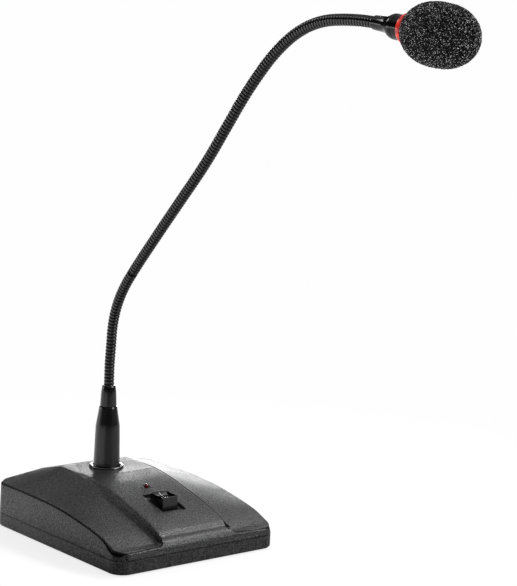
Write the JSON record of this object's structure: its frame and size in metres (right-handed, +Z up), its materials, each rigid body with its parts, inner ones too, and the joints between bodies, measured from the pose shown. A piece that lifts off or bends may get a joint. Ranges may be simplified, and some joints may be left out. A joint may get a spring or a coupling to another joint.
{
  "type": "gooseneck desk microphone",
  "caption": "Desk microphone: weighted sloping base with rocker switch, flexible gooseneck, lit ring and foam windscreen on the head.",
  "frame": {"origin": "on the desk plane, under the middle of the base's plan outline, 0.5 mm below the flat underside of the tray", "axes": "+Z up; -Y is the front, towards the talker; +X is to the right when the front is seen from the talker's side"},
  "size_m": [0.121, 0.3397, 0.3404],
  "materials": {
    "cover_abs": "moulded black ABS with a fine spark-eroded texture, satin",
    "tray_abs": "moulded black ABS, satin",
    "foot_rubber": "dull black rubber",
    "zinc_steel": "zinc plated steel screws",
    "ballast_steel": "mill finish steel plate",
    "cell_jacket": "plain shrink sleeve, no marks",
    "spring_steel": "nickel plated spring steel",
    "board_green": "solder mask over glass epoxy",
    "component_black": "moulded component bodies",
    "lead_pvc": "PVC insulated leads",
    "switch_black": "polished black nylon",
    "terminal_silver": "silver plated blades",
    "lamp_red": "dark red tinted lens, unlit",
    "xlr_nickel": "satin nickel",
    "insert_black": "glass filled nylon",
    "contact_gold": "gold plated contacts",
    "stem_steel": "threaded steel tube and nut",
    "flange_metal": "gloss black plated washer",
    "stem_black": "satin black sleeve",
    "relief_black": "glossy black strain relief",
    "neck_black": "black wound steel gooseneck, satin",
    "ferrule_black": "gloss black ferrule",
    "ring_red": "translucent red light guide, lit",
    "led_white": "surface mounted lamps",
    "capsule_metal": "dark anodised tube",
    "boot_rubber": "soft black rubber",
    "capsule_can": "drawn aluminium can",
    "grille_metal": "punched steel",
    "foam_black": "open cell black foam"
  },
  "bodies": {
    "base": {"base_cover": "cover_abs", "base_tray": "tray_abs", "rubber_feet": "foot_rubber", "cover_screws": "zinc_steel", "ballast_plate": "ballast_steel", "ballast_screws": "zinc_steel", "aa_cells": "cell_jacket", "battery_contacts": "spring_steel", "battery_springs": "spring_steel", "main_board": "board_green", "board_components": "component_black", "board_screws": "zinc_steel", "board_leads": "lead_pvc", "switch_housing": "switch_black", "switch_terminals": "terminal_silver", "power_led": "lamp_red", "lamp_collar": "component_black", "xlr_shell": "xlr_nickel", "xlr_insert": "insert_black", "xlr_pins": "contact_gold", "xlr_screws": "zinc_steel", "stem_tube": "stem_steel", "stem_nut": "stem_steel", "stem_washer": "stem_steel", "stem_flange": "flange_metal", "stem_sleeve": "stem_black", "strain_relief": "relief_black", "neck_anchor": "neck_black"},
    "rocker": {"switch_rocker": "switch_black"},
    "battery_door": {"battery_door": "tray_abs"},
    "neck_01": {"neck_segment_01": "neck_black"},
    "neck_02": {"neck_segment_02": "neck_black"},
    "neck_03": {"neck_segment_03": "neck_black"},
    "neck_04": {"neck_segment_04": "neck_black"},
    "neck_05": {"neck_segment_05": "neck_black"},
    "neck_06": {"neck_segment_06": "neck_black"},
    "neck_07": {"neck_segment_07": "neck_black"},
    "neck_08": {"neck_segment_08": "neck_black"},
    "neck_09": {"neck_segment_09": "neck_black"},
    "neck_10": {"neck_segment_10": "neck_black"},
    "neck_11": {"neck_segment_11": "neck_black"},
    "neck_12": {"neck_segment_12": "neck_black"},
    "neck_13": {"neck_segment_13": "neck_black"},
    "neck_14": {"neck_segment_14": "neck_black"},
    "head": {"neck_end": "neck_black", "head_ferrule": "ferrule_black", "light_ring": "ring_red", "ring_board": "board_green", "ring_leds": "led_white", "capsule_housing": "capsule_metal", "capsule_boot": "boot_rubber", "electret_capsule": "capsule_can", "capsule_grille": "grille_metal"},
    "foam": {"foam_windscreen": "foam_black"}
  },
  "joints": [
    {"name": "neck_lower_bend", "type": "hinge", "parent": "base", "child": "neck_01", "pos_m": [0, 0.0315, 0.1], "axis": [1, 0, 0], "range_deg": [-14, 6]},
    {"name": "neck_lower_swing", "type": "hinge", "parent": "neck_01", "child": "neck_02", "pos_m": [0, 0.03006, 0.12395], "axis": [0, 0.9973, 0.0741], "range_deg": [-12, 12]},
    {"name": "neck_lower_bend_2", "type": "hinge", "parent": "neck_02", "child": "neck_03", "pos_m": [0, 0.02363, 0.14691], "axis": [1, 0, 0], "range_deg": [-14, 6]},
    {"name": "neck_lower_bend_3", "type": "hinge", "parent": "neck_03", "child": "neck_04", "pos_m": [0, 0.00974, 0.16641], "axis": [1, 0, 0], "range_deg": [-14, 6]},
    {"name": "neck_lower_swing_2", "type": "hinge", "parent": "neck_04", "child": "neck_05", "pos_m": [0, -0.00631, 0.18424], "axis": [0, 0.7354, 0.6776], "range_deg": [-12, 12]},
    {"name": "neck_middle_bend", "type": "hinge", "parent": "neck_05", "child": "neck_06", "pos_m": [0, -0.02263, 0.20184], "axis": [1, 0, 0], "range_deg": [-12, 5]},
    {"name": "neck_middle_bend_2", "type": "hinge", "parent": "neck_06", "child": "neck_07", "pos_m": [0, -0.03907, 0.21933], "axis": [1, 0, 0], "range_deg": [-12, 5]},
    {"name": "neck_lower_swing_3", "type": "hinge", "parent": "neck_07", "child": "neck_08", "pos_m": [0, -0.05546, 0.23686], "axis": [0, 0.7465, 0.6654], "range_deg": [-12, 12]},
    {"name": "neck_middle_bend_3", "type": "hinge", "parent": "neck_08", "child": "neck_09", "pos_m": [0, -0.07083, 0.25528], "axis": [1, 0, 0], "range_deg": [-12, 5]},
    {"name": "neck_middle_bend_4", "type": "hinge", "parent": "neck_09", "child": "neck_10", "pos_m": [0, -0.08571, 0.27412], "axis": [1, 0, 0], "range_deg": [-12, 5]},
    {"name": "neck_upper_swing", "type": "hinge", "parent": "neck_10", "child": "neck_11", "pos_m": [0, -0.10139, 0.29227], "axis": [0, 0.7271, 0.6865], "range_deg": [-14, 14]},
    {"name": "neck_upper_bend", "type": "hinge", "parent": "neck_11", "child": "neck_12", "pos_m": [0, -0.11881, 0.30876], "axis": [1, 0, 0], "range_deg": [-14, 10]},
    {"name": "neck_upper_bend_2", "type": "hinge", "parent": "neck_12", "child": "neck_13", "pos_m": [0, -0.13907, 0.3215], "axis": [1, 0, 0], "range_deg": [-14, 10]},
    {"name": "neck_upper_swing_2", "type": "hinge", "parent": "neck_13", "child": "neck_14", "pos_m": [0, -0.16212, 0.32784], "axis": [0, 0.1153, 0.9933], "range_deg": [-14, 14]},
    {"name": "neck_upper_bend_3", "type": "hinge", "parent": "neck_14", "child": "head", "pos_m": [0, -0.1861, 0.32861], "axis": [1, 0, 0], "range_deg": [-14, 10]},
    {"name": "foam_pull_off", "type": "slide", "parent": "head", "child": "foam", "axis": [0, -0.9956, -0.0941], "range_m": [0, 0.04]},
    {"name": "switch_rock", "type": "hinge", "parent": "base", "child": "rocker", "pos_m": [0, -0.03008, 0.02577], "axis": [1, 0, 0], "range_deg": [0, 24]},
    {"name": "battery_door_swing", "type": "hinge", "parent": "base", "child": "battery_door", "pos_m": [0, 0.00885, 0.0005], "axis": [1, 0, 0], "range_deg": [-75, 0]}
  ],
  "couplings": [
    {"joint": "neck_lower_bend_2", "follows": "neck_lower_bend", "ratio": 1},
    {"joint": "neck_lower_bend_3", "follows": "neck_lower_bend", "ratio": 1},
    {"joint": "neck_middle_bend_2", "follows": "neck_middle_bend", "ratio": 1},
    {"joint": "neck_middle_bend_3", "follows": "neck_middle_bend", "ratio": 1},
    {"joint": "neck_middle_bend_4", "follows": "neck_middle_bend", "ratio": 1},
    {"joint": "neck_upper_bend_2", "follows": "neck_upper_bend", "ratio": 1},
    {"joint": "neck_upper_bend_3", "follows": "neck_upper_bend", "ratio": 1},
    {"joint": "neck_lower_swing_2", "follows": "neck_lower_swing", "ratio": 1},
    {"joint": "neck_lower_swing_3", "follows": "neck_lower_swing", "ratio": 1},
    {"joint": "neck_upper_swing_2", "follows": "neck_upper_swing", "ratio": 1}
  ]
}
